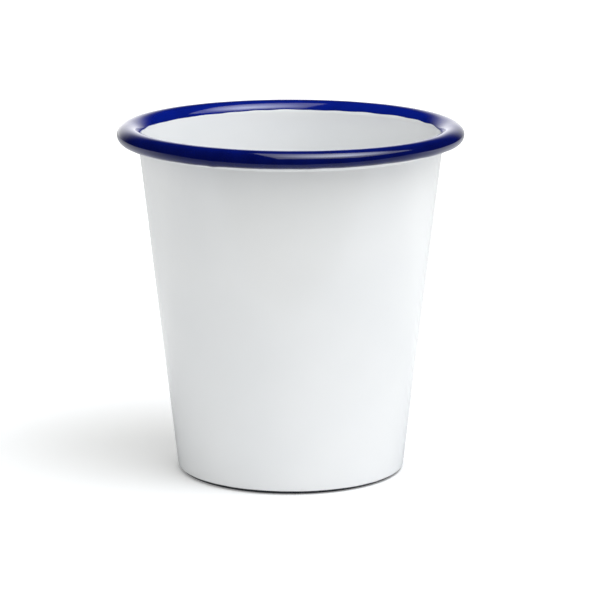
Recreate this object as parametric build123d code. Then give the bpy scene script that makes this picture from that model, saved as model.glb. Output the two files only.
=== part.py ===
from build123d import *

import os
from collections import namedtuple
from math import acos, cos, degrees, radians, sin, tan

# An enamelled steel tumbler with a rolled rim, made of one drawn sheet and the coats fused onto it.
# +Z is up. The origin is the centre of the ring that the tumbler stands on. All sizes are in mm.

# Driving dimensions, measured over the enamel.
height = 90.0
rim_radius = 44.35
bead_height = 4.38  # of the rolled rim, from crown to underside
bead_reach = 2.93  # from the crown out to the widest point of the rim
wall_foot_radius = 29.2  # where the line of the outer wall would meet the table
wall_tilt = 6.5  # degrees from upright
corner_radius = 1.8  # between the foot and the wall
foot_inner_radius = 25.0
base_recess = 1.0  # of the underside above the foot
blue_depth = 2.05  # of the blue band below the crown, inside the cup

# Thickness of the sheet and of the coats.
sheet = 0.6
ground_coat = 0.1
cover_coat = 0.2

# Smaller shapes of the section. A turn is in degrees.
bare_corner_turn = 60.0  # how far the dark ground coat stays bare round the foot's corner
recess_shoulder_radius = 1.0
recess_hollow_radius = 1.6
tuck_radius = 0.3  # inside the fold that tucks the sheet's edge in under the rim
tuck_turn = 60.0
sheet_edge_length = 0.5
seam_fillet_radius = 1.3  # of the enamel that pools where the rolled rim meets the wall

# Offsets are measured from the sheet's outer face, positive towards the drink.
sheet_outside = 0.0
sheet_inside = sheet
inner_ground = sheet_inside + ground_coat
inner_surface = inner_ground + cover_coat
outer_ground = -ground_coat
outer_surface = outer_ground - cover_coat

# The sheet's outer face in section: where its straight and round stretches begin and end.
wall_heading = 90.0 - wall_tilt
crown_radius = rim_radius - bead_reach
inner_wall_rim_radius = (
    wall_foot_radius
    + height * tan(radians(wall_tilt))
    - (inner_surface - outer_surface) / cos(radians(wall_tilt))
)
flare_surface_radius = (
    (crown_radius - inner_wall_rim_radius)
    * cos(radians(wall_tilt))
    / (1 - sin(radians(wall_tilt)))
)
flare_radius = flare_surface_radius - inner_surface
flare_centre_height = height - flare_surface_radius
blue_edge_heading = degrees(acos((flare_surface_radius - blue_depth) / flare_surface_radius))

# The rolled rim is a flatter arc for an eighth turn at the crown and one round arc from there to
# the underside. The crown's arc runs and falls these shares of its radius.
eighth_turn = 45.0
eighth_run = sin(radians(eighth_turn))
eighth_fall = 1 - cos(radians(eighth_turn))
bead_round_surface_radius = (bead_height * eighth_run - bead_reach * eighth_fall) / (
    (2 - eighth_fall) * eighth_run - eighth_fall**2
)
bead_crown_surface_radius = (bead_reach - bead_round_surface_radius * eighth_fall) / eighth_run
bead_crown_radius = bead_crown_surface_radius - inner_surface
bead_round_radius = bead_round_surface_radius - inner_surface

# The foot, and the step up from it to the recessed underside.
foot_height = ground_coat
foot_corner_radius = corner_radius + outer_surface
corner_centre_height = foot_height + foot_corner_radius
foot_outer_radius = (
    wall_foot_radius
    + corner_centre_height * tan(radians(wall_tilt))
    - corner_radius / cos(radians(wall_tilt))
)
recess_radii = recess_shoulder_radius + recess_hollow_radius
recess_turn = degrees(acos(1 - base_recess / recess_radii))
panel_radius = foot_inner_radius - recess_radii * sin(radians(recess_turn))

# The fillet of enamel in the seam, and the heights where the sheet's outer face meets it.
fillet_centre_height = height - bead_height - seam_fillet_radius
fillet_centre_radius = (
    wall_foot_radius
    + fillet_centre_height * tan(radians(wall_tilt))
    + seam_fillet_radius / cos(radians(wall_tilt))
)
underside_length = rim_radius - bead_round_surface_radius - fillet_centre_radius
wall_start = corner_centre_height - foot_corner_radius * sin(radians(wall_tilt))
seam_start = fillet_centre_height + (seam_fillet_radius - outer_surface) * sin(radians(wall_tilt))
wall_end = flare_centre_height + flare_radius * sin(radians(wall_tilt))

# Each stretch has a length and no turn, or a radius and a turn in degrees, positive to the left.
Stretch = namedtuple("Stretch", "name size turn")
SECTION = [
    Stretch("panel", panel_radius, 0),
    Stretch("recess_shoulder", recess_shoulder_radius, -recess_turn),
    Stretch("recess_hollow", recess_hollow_radius, recess_turn),
    Stretch("foot", foot_outer_radius - foot_inner_radius, 0),
    Stretch("corner_lower", foot_corner_radius, bare_corner_turn),
    Stretch("corner_upper", foot_corner_radius, wall_heading - bare_corner_turn),
    Stretch("wall", (seam_start - wall_start) / cos(radians(wall_tilt)), 0),
    Stretch("seam_wall", (wall_end - seam_start) / cos(radians(wall_tilt)), 0),
    Stretch("flare_lower", flare_radius, blue_edge_heading - wall_heading),
    Stretch("flare_upper", flare_radius, -blue_edge_heading),
    Stretch("bead_crown", bead_crown_radius, -eighth_turn),
    Stretch("bead_round", bead_round_radius, eighth_turn - 180),
    Stretch("underside", underside_length, 0),
    Stretch("tuck", tuck_radius, -tuck_turn),
    Stretch("sheet_edge", sheet_edge_length, 0),
]
NAMES = [stretch.name for stretch in SECTION]


def left_of(heading):
    """The unit vector to the left of a heading, in the XZ section plane."""
    return Vector(-sin(radians(heading)), 0, cos(radians(heading)))


def ahead_of(heading):
    """The unit vector along a heading, in the XZ section plane."""
    return Vector(cos(radians(heading)), 0, sin(radians(heading)))


def walk():
    """Where each stretch of the section starts, and its heading there, from the axis outwards."""
    place = Vector(0, 0, foot_height + base_recess)
    heading = 0.0
    starts = {}
    for name, size, turn in SECTION:
        starts[name] = (place, heading)
        if turn:
            side = size if turn > 0 else -size
            centre = place + left_of(heading) * side
            place = centre - left_of(heading + turn) * side
        else:
            place = place + ahead_of(heading) * size
        heading += turn
    return starts


STARTS = walk()


def parallel(name, offset):
    """The edge beside one stretch of the sheet's outer face, at an offset from it."""
    place, heading = STARTS[name]
    _, size, turn = SECTION[NAMES.index(name)]
    start = place + left_of(heading) * offset
    if not turn:
        return Line(start, start + ahead_of(heading) * size)
    side = size if turn > 0 else -size
    centre = place + left_of(heading) * side
    middle = centre + left_of(heading + turn / 2) * (offset - side)
    end = centre + left_of(heading + turn) * (offset - side)
    return ThreePointArc(start, middle, end)


def parallels(first, last, offset):
    """The edges beside a run of stretches, from the first named one to the last."""
    run = NAMES[NAMES.index(first) : NAMES.index(last) + 1]
    return [parallel(name, offset) for name in run]


def spin(edges):
    """The solid that a closed ring of edges sweeps round the axis."""
    return revolve(make_face(edges), axis=Axis.Z, revolution_arc=360)


def layer(first, last, low, high):
    """A layer of even thickness between two offsets, over a run of stretches."""
    near = parallels(first, last, low)
    far = parallels(first, last, high)
    ends = [Line(near[0] @ 0, far[0] @ 0), Line(near[-1] @ 1, far[-1] @ 1)]
    return spin(near + far + ends)


def steel_shell():
    """The one drawn sheet: recessed floor, foot, wall and the hollow roll of the rim."""
    return layer("panel", "sheet_edge", sheet_outside, sheet_inside)


def inner_ground_coat():
    """The dark ground coat inside the cup, which runs on round the rolled rim."""
    return layer("panel", "sheet_edge", sheet_inside, inner_ground)


def outer_ground_coat():
    """The dark ground coat under the cup and up its outer wall. Its flat ring is the foot."""
    return layer("panel", "seam_wall", outer_ground, sheet_outside)


def inner_cover_coat():
    """The white coat on the floor and inside the wall, up to the blue band."""
    return layer("panel", "flare_lower", inner_ground, inner_surface)


def base_cover_coat():
    """The white coat on the recessed underside."""
    return layer("panel", "recess_shoulder", outer_surface, outer_ground)


def rim_band():
    """The blue coat over the rolled rim."""
    return layer("flare_upper", "underside", inner_ground, inner_surface)


def outer_cover_coat():
    """The white coat on the outer wall, which pools into a fillet where the rolled rim meets the wall."""
    outside = parallels("corner_upper", "wall", outer_surface)
    against = parallels("corner_upper", "seam_wall", outer_ground)
    roll = parallels("tuck", "sheet_edge", inner_ground)
    centre = Vector(fillet_centre_radius, 0, fillet_centre_height)
    fillet_middle = centre + left_of(wall_heading / 2) * seam_fillet_radius
    blue_end = parallel("underside", inner_surface) @ 1
    return spin(
        outside
        + [ThreePointArc(outside[-1] @ 1, fillet_middle, blue_end)]
        + [Line(blue_end, roll[0] @ 0)]
        + roll
        + [Line(roll[-1] @ 1, against[-1] @ 1)]
        + against
        + [Line(outside[0] @ 0, against[0] @ 0)]
    )


PARTS = [
    steel_shell,
    inner_ground_coat,
    outer_ground_coat,
    inner_cover_coat,
    outer_cover_coat,
    base_cover_coat,
    rim_band,
]

os.makedirs("parts", exist_ok=True)
for build in PARTS:
    export_step(build(), f"parts/{build.__name__}.step")
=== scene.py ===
import random
from collections import namedtuple
from math import acos, cos, pi, radians, sin, tan

import bmesh
import bpy
import numpy as np
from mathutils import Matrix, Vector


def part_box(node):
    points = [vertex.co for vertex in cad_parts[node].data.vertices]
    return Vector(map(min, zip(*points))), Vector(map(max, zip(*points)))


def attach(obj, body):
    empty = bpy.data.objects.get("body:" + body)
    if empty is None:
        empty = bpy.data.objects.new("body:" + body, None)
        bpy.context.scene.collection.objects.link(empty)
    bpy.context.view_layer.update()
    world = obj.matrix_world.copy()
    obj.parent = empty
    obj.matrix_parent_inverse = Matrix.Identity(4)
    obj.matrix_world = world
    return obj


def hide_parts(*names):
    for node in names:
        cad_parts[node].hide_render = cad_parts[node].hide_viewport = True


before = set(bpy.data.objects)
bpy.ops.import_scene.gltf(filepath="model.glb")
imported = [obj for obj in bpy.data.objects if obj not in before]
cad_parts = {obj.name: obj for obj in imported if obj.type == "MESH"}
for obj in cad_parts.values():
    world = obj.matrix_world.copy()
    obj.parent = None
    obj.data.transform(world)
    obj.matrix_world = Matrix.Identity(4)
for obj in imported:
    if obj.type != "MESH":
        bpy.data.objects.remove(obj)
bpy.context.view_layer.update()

# The looks of an enamelled steel tumbler: white inside and out, with a blue coat on its rolled rim.
# The steel and the dark ground coats are the CAD nodes. The coats that show are built here as one
# mesh each, with the uneven edges and thickness that dipped and fired enamel has.
# All sizes are in metres. Azimuths are measured from the front (-Y), positive towards +X.

MM = 0.001

# Sizes that the frame gives.
rim_low, rim_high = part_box("rim_band")
steel_low, steel_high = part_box("steel_shell")
inside_low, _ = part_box("inner_cover_coat")
_, base_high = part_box("base_cover_coat")
height = rim_high.z
rim_radius = rim_high.x
bead_height = rim_high.z - rim_low.z
ground_coat = steel_low.z
cover_coat = rim_high.x - steel_high.x - ground_coat
sheet = inside_low.z - 2 * ground_coat
base_recess = base_high.z

# Sizes of the section that no box gives, as in the CAD model.
bead_reach = 2.93 * MM
wall_foot_radius = 29.2 * MM
wall_tilt = radians(6.5)
corner_radius = 1.8 * MM
foot_inner_radius = 25.0 * MM
recess_shoulder_radius = 1.0 * MM
recess_hollow_radius = 1.6 * MM
seam_fillet_radius = 1.3 * MM
blue_depth = 2.05 * MM
white_lap = 0.5 * MM  # how far the inner white coat runs on under the blue one
bare_foot_turn = radians(60)  # how far up the foot corner the ground coat stays bare

# Offsets from the sheet's outer face, positive towards the drink.
inner_ground = sheet + ground_coat
inner_surface = inner_ground + cover_coat
outer_ground = -ground_coat
outer_surface = outer_ground - cover_coat

# ---------------------------------------------------------------- section

# Each stretch of the sheet's outer face has a length and no turn, or a radius and a turn.
Stretch = namedtuple("Stretch", "name size turn")
quarter_turn = pi / 2
crown_turn = pi / 4  # how far the flatter arc on top of the rolled rim turns
foot_corner = corner_radius + outer_surface  # radius of the sheet's outer face at the foot


def bead_radii():
    """Radii of the rolled rim over its enamel: the flatter crown arc, and the rounder arc below it."""
    run = sin(crown_turn)
    fall = 1 - cos(crown_turn)
    bead_round = (bead_height * run - bead_reach * fall) / ((2 - fall) * run - fall**2)
    bead_crown = (bead_reach - bead_round * fall) / run
    return bead_crown, bead_round


def flare_radius():
    """Radius of the flare that turns the inside of the wall out to the crown, over the enamel."""
    crown_radius = rim_radius - bead_reach
    coated_wall = (inner_surface - outer_surface) / cos(wall_tilt)
    inner_rim_radius = wall_foot_radius + height * tan(wall_tilt) - coated_wall
    return (crown_radius - inner_rim_radius) * cos(wall_tilt) / (1 - sin(wall_tilt))


def fillet_centre():
    """Radius and height of the centre of the fillet in the seam under the rolled rim."""
    centre_height = height - bead_height - seam_fillet_radius
    wall_radius = wall_foot_radius + centre_height * tan(wall_tilt)
    return wall_radius + seam_fillet_radius / cos(wall_tilt), centre_height


def section():
    """The stretches of the sheet's outer face, from the axis out and up to the seam under the rim."""
    bead_crown, bead_round = bead_radii()
    flare = flare_radius()
    blue_edge = acos((flare - blue_depth) / flare)
    corner_centre = ground_coat + foot_corner
    foot_outer = wall_foot_radius + corner_centre * tan(wall_tilt) - corner_radius / cos(wall_tilt)
    recess_radii = recess_shoulder_radius + recess_hollow_radius
    recess_turn = acos(1 - base_recess / recess_radii)
    panel_radius = foot_inner_radius - recess_radii * sin(recess_turn)
    wall_start = corner_centre - foot_corner * sin(wall_tilt)
    wall_end = height - flare + (flare - inner_surface) * sin(wall_tilt)
    fillet_radius, _ = fillet_centre()
    return [
        Stretch("panel", panel_radius, 0),
        Stretch("recess_shoulder", recess_shoulder_radius, -recess_turn),
        Stretch("recess_hollow", recess_hollow_radius, recess_turn),
        Stretch("foot", foot_outer - foot_inner_radius, 0),
        Stretch("corner", foot_corner, quarter_turn - wall_tilt),
        Stretch("wall", (wall_end - wall_start) / cos(wall_tilt), 0),
        Stretch("flare_lower", flare - inner_surface, blue_edge - quarter_turn + wall_tilt),
        Stretch("flare_upper", flare - inner_surface, -blue_edge),
        Stretch("bead_crown", bead_crown - inner_surface, -crown_turn),
        Stretch("bead_round", bead_round - inner_surface, crown_turn - pi),
        Stretch("underside", rim_radius - bead_round - fillet_radius, 0),
    ]


def walk(stretches):
    """A row for the start of each stretch, and the travel at the last one's end.

    A row holds the travel along the section, the heading, the bend, the radius and the height.
    """
    travel = 0.0
    heading = 0.0
    radius = 0.0
    level = ground_coat + base_recess
    rows = []
    for _, size, turn in stretches:
        length = size * abs(turn) if turn else size
        bend = turn / length
        rows.append((travel, heading, bend, radius, level))
        if turn:
            radius += (sin(heading + turn) - sin(heading)) / bend
            level -= (cos(heading + turn) - cos(heading)) / bend
        else:
            radius += length * cos(heading)
            level += length * sin(heading)
        travel += length
        heading += turn
    return np.array(rows), travel


profile = section()
starts, last_travel = walk(profile)
travel_to = {stretch.name: row[0] for stretch, row in zip(profile, starts)}
height_at = {stretch.name: row[-1] for stretch, row in zip(profile, starts)}


def beside(travel, offset):
    """Radius and height at these travels, offset to the left of the sheet's outer face."""
    stretch = np.searchsorted(starts[:, 0], travel, side="right") - 1
    start, heading, bend, radius, level = np.moveaxis(starts[stretch], -1, 0)
    beyond = travel - start
    ahead = heading + bend * beyond
    straight = bend == 0
    safe_bend = np.where(straight, 1, bend)
    arc_across = (np.sin(ahead) - np.sin(heading)) / safe_bend
    arc_upward = (np.cos(heading) - np.cos(ahead)) / safe_bend
    across = np.where(straight, beyond * np.cos(heading), arc_across)
    upward = np.where(straight, beyond * np.sin(heading), arc_upward)
    return radius + across - offset * np.sin(ahead), level + upward + offset * np.cos(ahead)


# ---------------------------------------------------------------- uneven enamel

around = 384  # steps round the axis
azimuths = np.linspace(0, 2 * pi, around, endpoint=False)

# A wandering value round the axis: its seed, its greatest size, and its fewest and most waves.
Ripple = namedtuple("Ripple", "seed size fewest most")

# A smooth rise or dip round the axis: its azimuth and width in degrees, and its size.
Lump = namedtuple("Lump", "azimuth width size")


def ripple_values(ripple):
    """A ripple's values round the axis."""
    draw = random.Random(ripple.seed)
    total = np.zeros(around)
    for waves in range(ripple.fewest, ripple.most + 1):
        strength = draw.uniform(0.3, 1.0)
        total += strength * np.cos(waves * azimuths + draw.uniform(0, 2 * pi))
    return ripple.size * total / np.abs(total).max()


def lump_values(lump):
    """A lump's values round the axis."""
    away = (np.degrees(azimuths) - lump.azimuth + 180) % 360 - 180
    return lump.size * np.exp(-((away / lump.width) ** 2))


def uneven(ripple, *lumps):
    """A ripple with lumps on it, round the axis."""
    return ripple_values(ripple) + sum(lump_values(lump) for lump in lumps)


def all_round(values):
    """A row for each of these values, which holds it at every step round the axis."""
    return np.repeat(values[:, None], around, axis=1)


def rounded(distance, width):
    """How thick a coat is, from 0 at its edge to 1 one width in, with a round nose."""
    inside = np.clip(distance / width, 0, 1)
    return np.sqrt(1 - (1 - inside) ** 2)


def ramp(value, start, end):
    """An S curve, from 0 where the value is start to 1 where it is end."""
    share = np.clip((value - start) / (end - start), 0, 1)
    return share * share * (3 - 2 * share)


wander_size = 0.02 * MM
wander_waves = (2, 9)


def wander(share, first_seed, ripples):
    """How far a coat strays from an even thickness, at these shares of the way along it."""
    total = 0 * share
    for i in range(ripples):
        ripple = Ripple(first_seed + i, wander_size, *wander_waves)
        total += np.sin(pi * (i + 1) * share) * ripple_values(ripple)
    return total


# ---------------------------------------------------------------- meshes

fine_steps = 8  # steps in the fine mesh at a coat's edge
weld_distance = 0.0001 * MM

# Mesh spacings along the section.
panel_spacing = 0.9 * MM
floor_spacing = 1.4 * MM
inner_wall_spacing = 2.4 * MM
outer_wall_spacing = 1.0 * MM
blue_spacing = 0.13 * MM
inner_bend_spacing = 0.12 * MM
outer_bend_spacing = 0.1 * MM
fillet_steps = 15


def steps(first, last, spacing, nose=0.0, tail=0.0):
    """Travels from first to last at about this spacing, closer together in a nose or tail this long."""
    middle_first = first + nose
    middle_last = last - tail
    count = max(2, round((middle_last - middle_first) / spacing))
    middle = np.linspace(middle_first, middle_last, count + 1)
    shares = np.linspace(0, 1, fine_steps + 1)
    fine_nose = first + nose * shares[:-1] ** 2 if nose else []
    fine_tail = last - tail * shares[-2::-1] ** 2 if tail else []
    return np.concatenate([fine_nose, middle, fine_tail])


def joined(*runs):
    """The rows of travels of runs that each start where the one before ends."""
    shortened = [run[:-1] for run in runs[:-1]]
    return all_round(np.concatenate([*shortened, runs[-1]]))


def grid_mesh(name, face, back, on_axis=False):
    """A closed mesh of revolution. face and back are (radius, height) arrays, a row per travel."""
    radius = np.concatenate([face[0], back[0][::-1]])
    level = np.concatenate([face[1], back[1][::-1]])
    rows = radius.shape[0]
    points = np.stack([radius * np.sin(azimuths), -radius * np.cos(azimuths), level], axis=-1)
    bands = rows - 1 if on_axis else rows
    row, column = np.meshgrid(np.arange(bands), np.arange(around), indexing="ij")
    next_row = (row + 1) % rows
    next_column = (column + 1) % around
    corners = [
        row * around + column,
        row * around + next_column,
        next_row * around + next_column,
        next_row * around + column,
    ]
    quads = np.stack([corner.ravel() for corner in corners], axis=-1)
    mesh = bpy.data.meshes.new(name)
    mesh.from_pydata(points.reshape(-1, 3).tolist(), [], quads.tolist())
    mesh.shade_smooth()
    piece = bpy.data.objects.new(name, mesh)
    bpy.context.scene.collection.objects.link(piece)
    return piece


def add_values(piece, name, face_values):
    """Stores a value at each point of a coat's face, for its material, and 0 on its back."""
    both = np.concatenate([face_values, 0 * face_values])
    attribute = piece.data.attributes.new(name, "FLOAT", "POINT")
    attribute.data.foreach_set("value", both.ravel().astype(np.float32))


def clean(mesh):
    """Joins points that coincide, on the axis and at a coat's edge, and turns every face outwards."""
    work = bmesh.new()
    work.from_mesh(mesh)
    bmesh.ops.remove_doubles(work, verts=work.verts, dist=weld_distance)
    bmesh.ops.recalc_face_normals(work, faces=work.faces)
    work.to_mesh(mesh)
    work.free()


def add_piece(piece, node, material):
    """Rides a piece on the frame in place of a CAD node, with its material."""
    clean(piece.data)
    piece.data.materials.append(material)
    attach(piece, "root")
    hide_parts(node)


# ---------------------------------------------------------------- blue coat

# Widths of the round noses: of the coat at its edge and in the seam, and of the white coat under it.
blue_nose = 0.35 * MM
blue_seam_nose = 0.25 * MM
lap_nose = 0.5 * MM

# Lengths of the fine mesh at the edge and in the seam.
blue_fine_nose = 0.4 * MM
blue_fine_tail = 0.3 * MM

# The edge wanders, and it reaches farther down the inside at the back.
edge_ripple = Ripple(11, 0.1 * MM, 6, 36)
edge_shifts = (Lump(-135, 40, -0.4 * MM), Lump(160, 18, -0.15 * MM))

# The blue coat stands on the white one with a lip, which levels out away from the edge.
lip_height = 0.07 * MM
lip_run = 1.5 * MM

# The roll is thicker on the left of the front and thinner on the right. Enamel has gathered below it,
# most of all in one drip.
swelling_ripple = Ripple(12, 0.02 * MM, 2, 30)
swelling_lumps = (Lump(-50, 30, 0.12 * MM), Lump(45, 30, -0.16 * MM))
drip_ripple = Ripple(13, 0.05 * MM, 9, 40)
drip_lump = Lump(-26.5, 1.6, 0.16 * MM)

# Where these fade in and out, as shares of the way from the coat's edge to the seam.
edge_shift_fade = (0.25, 0)
swelling_fades = ((0, 0.2), (1, 0.875))
drip_fades = ((0.55, 0.8), (1, 0.9))


def blue_rim(material):
    """The blue coat over the rolled rim."""
    even_edge = travel_to["flare_upper"]
    edge = even_edge + uneven(edge_ripple, *edge_shifts)
    run = steps(even_edge, last_travel, blue_spacing, nose=blue_fine_nose, tail=blue_fine_tail)
    share = all_round((run - even_edge) / (last_travel - even_edge))
    travel = all_round(run) + ramp(share, *edge_shift_fade) * (edge - even_edge)
    from_edge = travel - edge
    to_seam = last_travel - travel
    swollen = ramp(share, *swelling_fades[0]) * ramp(share, *swelling_fades[1])
    dripping = ramp(share, *drip_fades[0]) * ramp(share, *drip_fades[1])
    swelling = swollen * uneven(swelling_ripple, *swelling_lumps)
    drip = dripping * uneven(drip_ripple, drip_lump)
    lip = lip_height * ramp(from_edge, lip_run, 0)
    thickness = rounded(from_edge, blue_nose) * rounded(to_seam, blue_seam_nose)
    back_offset = inner_ground + cover_coat * rounded(even_edge + white_lap - travel, lap_nose)
    face_offset = back_offset + (inner_surface + lip + swelling + drip - back_offset) * thickness
    piece = grid_mesh("blue_rim_enamel", beside(travel, face_offset), beside(travel, back_offset))
    add_values(piece, "cover", thickness)
    add_values(piece, "outward", share)
    add_piece(piece, "rim_band", material)


# ---------------------------------------------------------------- white coats

# Widths of the round noses at the coats' edges, and the length of the fine mesh there.
inner_nose = 0.5 * MM
outer_nose = 0.3 * MM
base_nose = 0.25 * MM
white_fine_run = 0.3 * MM

# Each coat's thickness wanders by ripples with seeds from the first on.
inner_first_seed = 20
inner_ripples = 3
outer_first_seed = 40
outer_ripples = 4
base_first_seed = 51
base_ripples = 1

# The outer coat's lower edge lies a little above the CAD coat's, with a ripple and a dip in it.
foot_edge_rise = 0.14 * MM
foot_edge_ripple = Ripple(31, 0.05 * MM, 3, 40)
# The dip narrows the dark bare band at the foot on the front right, where the light falls: painted
# light.
foot_edge_lit_dip = Lump(50, 35, -0.1 * MM)
foot_shift_fade = (0.05, 0)  # as shares of the way from the foot to the seam


def white_inside(material):
    """The white coat on the floor and inside the wall, which ends under the blue coat's edge."""
    last = travel_to["flare_upper"] + white_lap
    floor_run = steps(0, travel_to["corner"], floor_spacing)
    corner_run = steps(travel_to["corner"], travel_to["wall"], inner_bend_spacing)
    wall_run = steps(travel_to["wall"], travel_to["flare_lower"], inner_wall_spacing)
    flare_run = steps(travel_to["flare_lower"], last, inner_bend_spacing, tail=white_fine_run)
    travel = joined(floor_run, corner_run, wall_run, flare_run)
    coat = cover_coat + wander(travel / last, inner_first_seed, inner_ripples)
    face = beside(travel, inner_ground + coat * rounded(last - travel, inner_nose))
    back = beside(travel, inner_ground)
    piece = grid_mesh("inner_white_enamel", face, back, on_axis=True)
    add_piece(piece, "inner_cover_coat", material)


def seam_fillet(wall_end_radius, wall_end_height):
    """The face and back of the pool of enamel under the rim. The back goes on from the wall's end."""
    centre_radius, centre_height = fillet_centre()
    turn = all_round(np.linspace(pi - wall_tilt, quarter_turn, fillet_steps + 1)[1:])
    face = (
        centre_radius + seam_fillet_radius * np.cos(turn),
        centre_height + seam_fillet_radius * np.sin(turn),
    )
    share = all_round(np.linspace(0, 1, fillet_steps + 1)[1:])
    back_top = height - bead_height + cover_coat
    back = (
        wall_end_radius + share * (centre_radius - wall_end_radius),
        wall_end_height + ramp(share, 0, 1) * (back_top - wall_end_height),
    )
    return face, back


def white_outside(material):
    """The white coat on the outer wall, with its pool of enamel in the seam under the rim."""
    _, centre_height = fillet_centre()
    seam = travel_to["wall"] + (centre_height - height_at["wall"]) / cos(wall_tilt)
    bare_end = travel_to["corner"] + foot_corner * bare_foot_turn
    edge = bare_end + foot_edge_rise + uneven(foot_edge_ripple, foot_edge_lit_dip)
    corner_run = steps(bare_end, travel_to["wall"], outer_bend_spacing, nose=white_fine_run)
    wall_run = steps(travel_to["wall"], seam, outer_wall_spacing)
    even_travel = joined(corner_run, wall_run)
    share = (even_travel - bare_end) / (seam - bare_end)
    travel = even_travel + ramp(share, *foot_shift_fade) * (edge - bare_end)
    coat = cover_coat + wander(share, outer_first_seed, outer_ripples)
    face_wall = beside(travel, outer_ground - coat * rounded(travel - edge, outer_nose))
    back_wall = beside(travel, outer_ground)
    wall_end_radius, wall_end_height = (values[-1] for values in back_wall)
    face_fillet, back_fillet = seam_fillet(wall_end_radius, wall_end_height)
    face = [np.concatenate(pair) for pair in zip(face_wall, face_fillet)]
    back = [np.concatenate(pair) for pair in zip(back_wall, back_fillet)]
    piece = grid_mesh("outer_white_enamel", face, back)
    add_piece(piece, "outer_cover_coat", material)


def white_base(material):
    """The white coat on the recessed underside."""
    shoulder = travel_to["recess_shoulder"]
    last = travel_to["recess_hollow"]
    panel_run = steps(0, shoulder, panel_spacing)
    shoulder_run = steps(shoulder, last, outer_bend_spacing, tail=white_fine_run)
    travel = joined(panel_run, shoulder_run)
    coat = cover_coat + wander(travel / last, base_first_seed, base_ripples)
    face = beside(travel, outer_ground - coat * rounded(last - travel, base_nose))
    back = beside(travel, outer_ground)
    piece = grid_mesh("base_white_enamel", face, back, on_axis=True)
    add_piece(piece, "base_cover_coat", material)


# ---------------------------------------------------------------- shader nodes


class Shading:
    """A node tree being built, with a short method for each kind of node that the looks need."""

    def __init__(self, tree):
        self.nodes = tree.nodes
        self.links = tree.links

    def feed(self, target, value):
        """Links a socket to an input, or gives the input a plain value."""
        if isinstance(value, bpy.types.NodeSocket):
            self.links.new(value, target)
        else:
            target.default_value = value

    def place(self):
        """The place on the object, in metres."""
        return self.nodes.new("ShaderNodeTexCoord").outputs["Object"]

    def parts(self, vector):
        """The X, Y and Z of a vector."""
        node = self.nodes.new("ShaderNodeSeparateXYZ")
        self.feed(node.inputs["Vector"], vector)
        return node.outputs

    def math(self, operation, *values):
        """The result of a maths operation on these values."""
        node = self.nodes.new("ShaderNodeMath")
        node.operation = operation
        for socket, value in zip(node.inputs, values):
            self.feed(socket, value)
        return node.outputs[0]

    def distance(self, vector, centre):
        """How far a vector's end is from a centre."""
        node = self.nodes.new("ShaderNodeVectorMath")
        node.operation = "DISTANCE"
        self.feed(node.inputs[0], vector)
        self.feed(node.inputs[1], centre)
        return node.outputs["Value"]

    def noise(self, vector, size, detail=2.0):
        """A noise value whose lumps are about this size in metres."""
        node = self.nodes.new("ShaderNodeTexNoise")
        self.feed(node.inputs["Vector"], vector)
        self.feed(node.inputs["Scale"], 1 / size)
        self.feed(node.inputs["Detail"], detail)
        return node.outputs["Fac"]

    def spread(self, value, low, high, start=0.3, end=0.7):
        """A value remapped from between start and end to between low and high.

        Nearly all of a noise's values lie between the start and end that are given here.
        """
        node = self.nodes.new("ShaderNodeMapRange")
        self.feed(node.inputs["Value"], value)
        self.feed(node.inputs["From Min"], start)
        self.feed(node.inputs["From Max"], end)
        self.feed(node.inputs["To Min"], low)
        self.feed(node.inputs["To Max"], high)
        return node.outputs["Result"]

    def mix(self, share, first, second):
        """A mix of two colours, each a socket or an (r, g, b)."""
        node = self.nodes.new("ShaderNodeMix")
        node.data_type = "RGBA"
        self.feed(node.inputs["Factor"], share)
        for socket, color in ((node.inputs[6], first), (node.inputs[7], second)):
            self.feed(socket, (*color, 1) if isinstance(color, tuple) else color)
        return node.outputs[2]

    def stored(self, name):
        """A value stored on the points of the mesh."""
        node = self.nodes.new("ShaderNodeAttribute")
        node.attribute_name = name
        return node.outputs["Fac"]

    def background(self, node, color, strength):
        """The shader of a Background node with this colour and strength."""
        self.feed(node.inputs["Color"], (*color, 1))
        self.feed(node.inputs["Strength"], strength)
        return node.outputs[0]

    def specks(self, vector, spacing, size, share):
        """1 on small round specks that fade over their outer half. A share of the cells has one."""
        cells = self.nodes.new("ShaderNodeTexVoronoi")
        self.feed(cells.inputs["Vector"], vector)
        self.feed(cells.inputs["Scale"], 1 / spacing)
        near = self.spread(cells.outputs["Distance"], 1, 0, 0.5 * size / spacing, size / spacing)
        split = self.nodes.new("ShaderNodeSeparateColor")
        self.feed(split.inputs["Color"], cells.outputs["Color"])
        chosen = self.math("LESS_THAN", split.outputs["Red"], share)
        return self.math("MULTIPLY", near, chosen)


class Surface(Shading):
    """A new material, with its Principled shader."""

    def __init__(self, name):
        self.material = bpy.data.materials.new(name)
        self.material.use_nodes = True
        super().__init__(self.material.node_tree)
        self.shader = self.nodes["Principled BSDF"]

    def set_input(self, name, value):
        """Gives an input of the shader a socket or a plain value."""
        self.feed(self.shader.inputs[name], value)

    def set_bump(self, value, depth):
        """Gives the surface relief of this depth in metres."""
        node = self.nodes.new("ShaderNodeBump")
        self.feed(node.inputs["Strength"], 1.0)
        self.feed(node.inputs["Distance"], depth)
        self.feed(node.inputs["Height"], value)
        self.set_input("Normal", node.outputs["Normal"])


# ---------------------------------------------------------------- materials

enamel_ior = 1.7

white_tints = ((0.825, 0.832, 0.835), (0.862, 0.865, 0.865))
white_drift_size = 30 * MM
pinhole_color = (0.12, 0.1, 0.09)
pinhole_spacing = 9 * MM
pinhole_size = 0.16 * MM
pinhole_share = 0.2
white_gloss_size = 12 * MM
white_roughness = (0.08, 0.16)
white_peel_size = 2.6 * MM
white_peel_depth = 0.012 * MM

# The thin tints are partly painted light on the inner side of the roll, and the thick tints partly
# painted shade outside and below it, where the enamel also lies thicker.
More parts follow.
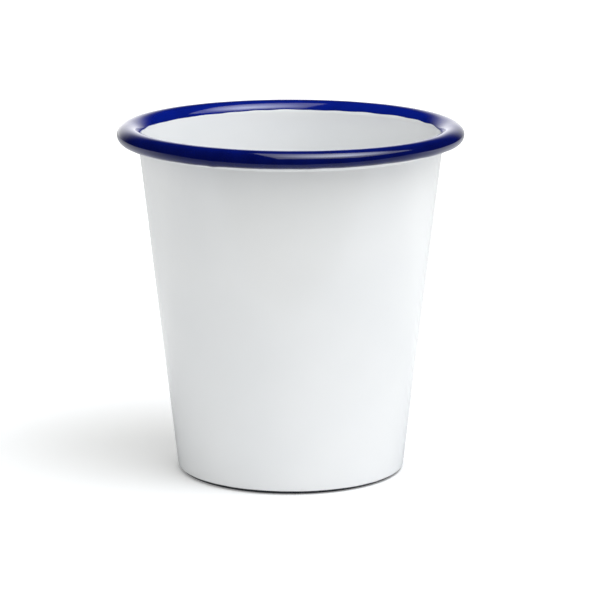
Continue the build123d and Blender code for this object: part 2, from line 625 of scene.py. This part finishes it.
blue_thin_and_lit_tints = ((0.001, 0.008, 0.17), (0.0015, 0.01, 0.21))
blue_thick_and_shaded_tints = ((0.0005, 0.0025, 0.062), (0.0009, 0.004, 0.085))
blue_edge_color = (0.03, 0.07, 0.35)
blue_drift_size = 6 * MM
blue_pooled_and_shaded = (0.15, 0.5)  # where the coat turns from thin and paler to thick and darker, from its edge to the seam; this turn is partly painted light and shade
blue_covered = (0.1, 0.8)  # the share of full thickness over which the white stops showing through
blue_gloss_size = 5 * MM
blue_roughness = (0.05, 0.1)
blue_peel_size = 1.8 * MM
blue_peel_depth = 0.008 * MM

ground_tints = ((0.012, 0.014, 0.02), (0.03, 0.032, 0.04))
ground_drift_size = 4 * MM
fleck_color = (0.09, 0.09, 0.1)
fleck_spacing = 0.8 * MM
fleck_size = 0.2 * MM
fleck_share = 0.5
ground_gloss_size = 1 * MM
ground_roughness = (0.2, 0.4)
ground_peel_size = 0.4 * MM
ground_peel_depth = 0.01 * MM

steel_tints = ((0.36, 0.35, 0.34), (0.5, 0.49, 0.47))
draw_line_width = 0.3 * MM
draw_line_squeeze = (1, 1, 0.05)  # draws the grain out along the wall
steel_roughness = (0.3, 0.5)
draw_line_depth = 0.005 * MM

# Detail of the noise: smooth for orange peel, rougher for grain.
peel_detail = 1.0
ground_detail = 3.0
grain_detail = 4.0


def white_enamel():
    """Glossy white enamel: a cool white that drifts a little, orange peel and a few dark pinholes."""
    surface = Surface("white_enamel")
    place = surface.place()
    drift = surface.spread(surface.noise(place, white_drift_size), 0, 1)
    pinholes = surface.specks(place, pinhole_spacing, pinhole_size, pinhole_share)
    gloss = surface.noise(place, white_gloss_size)
    tint = surface.mix(drift, *white_tints)
    surface.set_input("Base Color", surface.mix(pinholes, tint, pinhole_color))
    surface.set_input("Roughness", surface.spread(gloss, *white_roughness))
    surface.set_input("IOR", enamel_ior)
    surface.set_bump(surface.noise(place, white_peel_size, peel_detail), white_peel_depth)
    return surface.material


def blue_enamel():
    """Glossy cobalt enamel: thick and darker outside and below, with painted shade there, thin and
    paler inside, with painted light there, and paler at its very edge over the white.
    """
    surface = Surface("blue_enamel")
    place = surface.place()
    drift = surface.spread(surface.noise(place, blue_drift_size), 0, 1)
    thin_and_lit = surface.mix(drift, *blue_thin_and_lit_tints)
    thick_and_shaded = surface.mix(drift, *blue_thick_and_shaded_tints)
    pooled_and_shaded = surface.spread(surface.stored("outward"), 0, 1, *blue_pooled_and_shaded)
    covered = surface.spread(surface.stored("cover"), 0, 1, *blue_covered)
    gloss = surface.noise(place, blue_gloss_size)
    blue_with_painted_light = surface.mix(pooled_and_shaded, thin_and_lit, thick_and_shaded)
    surface.set_input("Base Color", surface.mix(covered, blue_edge_color, blue_with_painted_light))
    surface.set_input("Roughness", surface.spread(gloss, *blue_roughness))
    surface.set_input("IOR", enamel_ior)
    surface.set_bump(surface.noise(place, blue_peel_size, peel_detail), blue_peel_depth)
    return surface.material


def dark_ground_enamel():
    """The dark ground coat: nearly black, with paler flecks and a duller gloss."""
    surface = Surface("dark_ground_enamel")
    place = surface.place()
    flecks = surface.specks(place, fleck_spacing, fleck_size, fleck_share)
    drift = surface.spread(surface.noise(place, ground_drift_size), 0, 1)
    gloss = surface.noise(place, ground_gloss_size)
    tint = surface.mix(drift, *ground_tints)
    surface.set_input("Base Color", surface.mix(flecks, tint, fleck_color))
    surface.set_input("Roughness", surface.spread(gloss, *ground_roughness))
    surface.set_bump(surface.noise(place, ground_peel_size, ground_detail), ground_peel_depth)
    return surface.material


def sheet_steel():
    """Drawn sheet steel, with fine draw lines up the wall."""
    surface = Surface("sheet_steel")
    squeeze = surface.nodes.new("ShaderNodeMapping")
    surface.feed(squeeze.inputs["Vector"], surface.place())
    surface.feed(squeeze.inputs["Scale"], draw_line_squeeze)
    grain = surface.noise(squeeze.outputs["Vector"], draw_line_width, grain_detail)
    surface.set_input("Base Color", surface.mix(surface.spread(grain, 0, 1), *steel_tints))
    surface.set_input("Metallic", 1.0)
    surface.set_input("Roughness", surface.spread(grain, *steel_roughness))
    surface.set_bump(grain, draw_line_depth)
    return surface.material


# ---------------------------------------------------------------- object


def finish_node(node, material):
    """Gives a CAD node that stays in view its material."""
    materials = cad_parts[node].data.materials
    materials.clear()
    materials.append(material)


white = white_enamel()
dark = dark_ground_enamel()
blue_rim(blue_enamel())
white_inside(white)
white_outside(white)
white_base(white)
finish_node("steel_shell", sheet_steel())
finish_node("inner_ground_coat", dark)
finish_node("outer_ground_coat", dark)

# ---------------------------------------------------------------- studio

# The table top. Reflections see its front part darker. The camera sees it glow, more so farther out.
table_front = -0.14
table_back = 1.2
table_half_width = 1.0
table_color = (0.9, 0.9, 0.9)
mirrored_front_color = (0.26, 0.275, 0.32)
mirrored_back_color = (0.85, 0.85, 0.85)
mirrored_change = (-0.06, 0.1)  # the Y over which one turns into the other
table_glow = (0.16, 0.65)
table_glow_color = (1, 1, 1, 1)
table_glow_radii = (0.08, 0.35)
table_roughness = 0.7

# The two soft lights, each with its radiance at the edge and in the centre.
key_place = (0.36, -0.3, 0.72)
key_size = 0.95
key_radiance = (1.36, 1.36)
key_color = (1, 1, 0.96)
core_place = (0.26, -0.17, 0.71)
core_size = 0.72
core_radiance = (0.0, 5.8)
core_color = (0.92, 0.98, 1.1)

# A light's own coordinates run from 0 to 1 both ways.
light_centre = (0.5, 0.5, 0)
centre_to_edge = 0.5

# The surroundings. A direction is given by the X, Y and Z of its unit vector.
backdrop_slant = -0.06
backdrop_sides = (0.70, 1.0)  # the Y over which the backdrop brightens
backdrop_steepness = 3
backdrop_top = (0.3, 0.55)  # the Z over which it ends
backdrop_radiance = 2.0
room_radiance = 0.01
room_color = (0.8, 0.8, 0.8)
fill_radiance = (0.73, 0.61)
fill_slopes = (0.05, 0.5)  # the Z over which the fill goes from the first radiance to the second
fill_color = (0.97, 0.98, 0.97)
seen_color = (1, 1, 1)
seen_radiance = 1.05

sensor_width = 36  # mm
lens = 190.0  # mm
lens_shift = (0.0155, -0.0048)
eye_place = (0, -0.7993, 0.2179)
eye_pitch = radians(12.222)


def table_top():
    """A matt pale top. Diffuse light sees it even, and reflections see it darker in front."""
    surface = Surface("table_top")
    place = surface.place()
    rays = surface.nodes.new("ShaderNodeLightPath").outputs
    farther = surface.spread(surface.parts(place)["Y"], 0, 1, *mirrored_change)
    mirrored = surface.mix(farther, mirrored_front_color, mirrored_back_color)
    glow = surface.spread(surface.distance(place, (0, 0, 0)), *table_glow, *table_glow_radii)
    surface.set_input("Base Color", surface.mix(rays["Is Glossy Ray"], table_color, mirrored))
    surface.set_input("Emission Color", table_glow_color)
    surface.set_input("Emission Strength", surface.math("MULTIPLY", glow, rays["Is Camera Ray"]))
    surface.set_input("Roughness", table_roughness)
    surface.set_input("Specular IOR Level", 0.0)
    return surface.material


def table():
    """A plain pale floor."""
    corners = [
        (-table_half_width, table_front, 0),
        (table_half_width, table_front, 0),
        (table_half_width, table_back, 0),
        (-table_half_width, table_back, 0),
    ]
    mesh = bpy.data.meshes.new("floor")
    mesh.from_pydata(corners, [], [(0, 1, 2, 3)])
    mesh.materials.append(table_top())
    top = bpy.data.objects.new("floor", mesh)
    bpy.context.scene.collection.objects.link(top)


def softbox(name, place, size, radiance, color):
    """A square soft light facing down. Its radiance is two values: at the edge and in the centre."""
    light = bpy.data.lights.new(name, "AREA")
    light.color = color
    light.shape = "SQUARE"
    light.size = size
    light.energy = pi * size**2  # which makes the emission strength the radiance
    light.use_nodes = True
    shading = Shading(light.node_tree)
    spot = shading.nodes.new("ShaderNodeNewGeometry").outputs["Parametric"]
    from_centre = shading.distance(spot, light_centre)
    edge, centre = radiance
    glow = shading.spread(from_centre, centre, edge, 0, centre_to_edge)
    shading.feed(shading.nodes["Emission"].inputs["Strength"], glow)
    lamp = bpy.data.objects.new(name, light)
    lamp.location = place
    bpy.context.scene.collection.objects.link(lamp)


def studio_world():
    """White to the camera, a bright backdrop in a dark room to reflections, soft fill to the rest."""
    world = bpy.data.worlds.new("studio")
    bpy.context.scene.world = world
    world.cycles.sampling_method = "NONE"
    world.use_nodes = True
    shading = Shading(world.node_tree)
    way = shading.parts(shading.nodes.new("ShaderNodeTexCoord").outputs["Generated"])
    slanted = shading.math("MULTIPLY_ADD", way["X"], backdrop_slant, way["Y"])
    behind = shading.spread(slanted, 0, 1, *backdrop_sides)
    steeper = shading.math("POWER", behind, backdrop_steepness)
    low_enough = shading.spread(way["Z"], 1, 0, *backdrop_top)
    backdrop = shading.math("MULTIPLY", steeper, low_enough)
    mirrored = shading.spread(backdrop, room_radiance, backdrop_radiance, 0, 1)
    even = shading.spread(way["Z"], *fill_radiance, *fill_slopes)
    new_background = "ShaderNodeBackground"
    room = shading.background(shading.nodes.new(new_background), room_color, mirrored)
    fill = shading.background(shading.nodes.new(new_background), fill_color, even)
    seen = shading.background(shading.nodes["Background"], seen_color, seen_radiance)
    rays = shading.nodes.new("ShaderNodeLightPath").outputs
    shader = room
    for ray, choice in (("Is Diffuse Ray", fill), ("Is Camera Ray", seen)):
        node = shading.nodes.new("ShaderNodeMixShader")
        shading.feed(node.inputs["Fac"], rays[ray])
        shading.feed(node.inputs[1], shader)
        shading.feed(node.inputs[2], choice)
        shader = node.outputs[0]
    shading.feed(shading.nodes["World Output"].inputs["Surface"], shader)


def camera():
    """A long lens from in front and a little above."""
    data = bpy.data.cameras.new("camera")
    data.sensor_width = sensor_width
    data.lens = lens
    data.shift_x, data.shift_y = lens_shift
    eye = bpy.data.objects.new("camera", data)
    eye.location = eye_place
    eye.rotation_euler = (quarter_turn - eye_pitch, 0, 0)
    bpy.context.scene.collection.objects.link(eye)
    bpy.context.scene.camera = eye


table()
softbox("key", key_place, key_size, key_radiance, key_color)
softbox("key_core", core_place, core_size, core_radiance, core_color)
studio_world()
camera()
bpy.context.scene.view_settings.view_transform = "Standard"
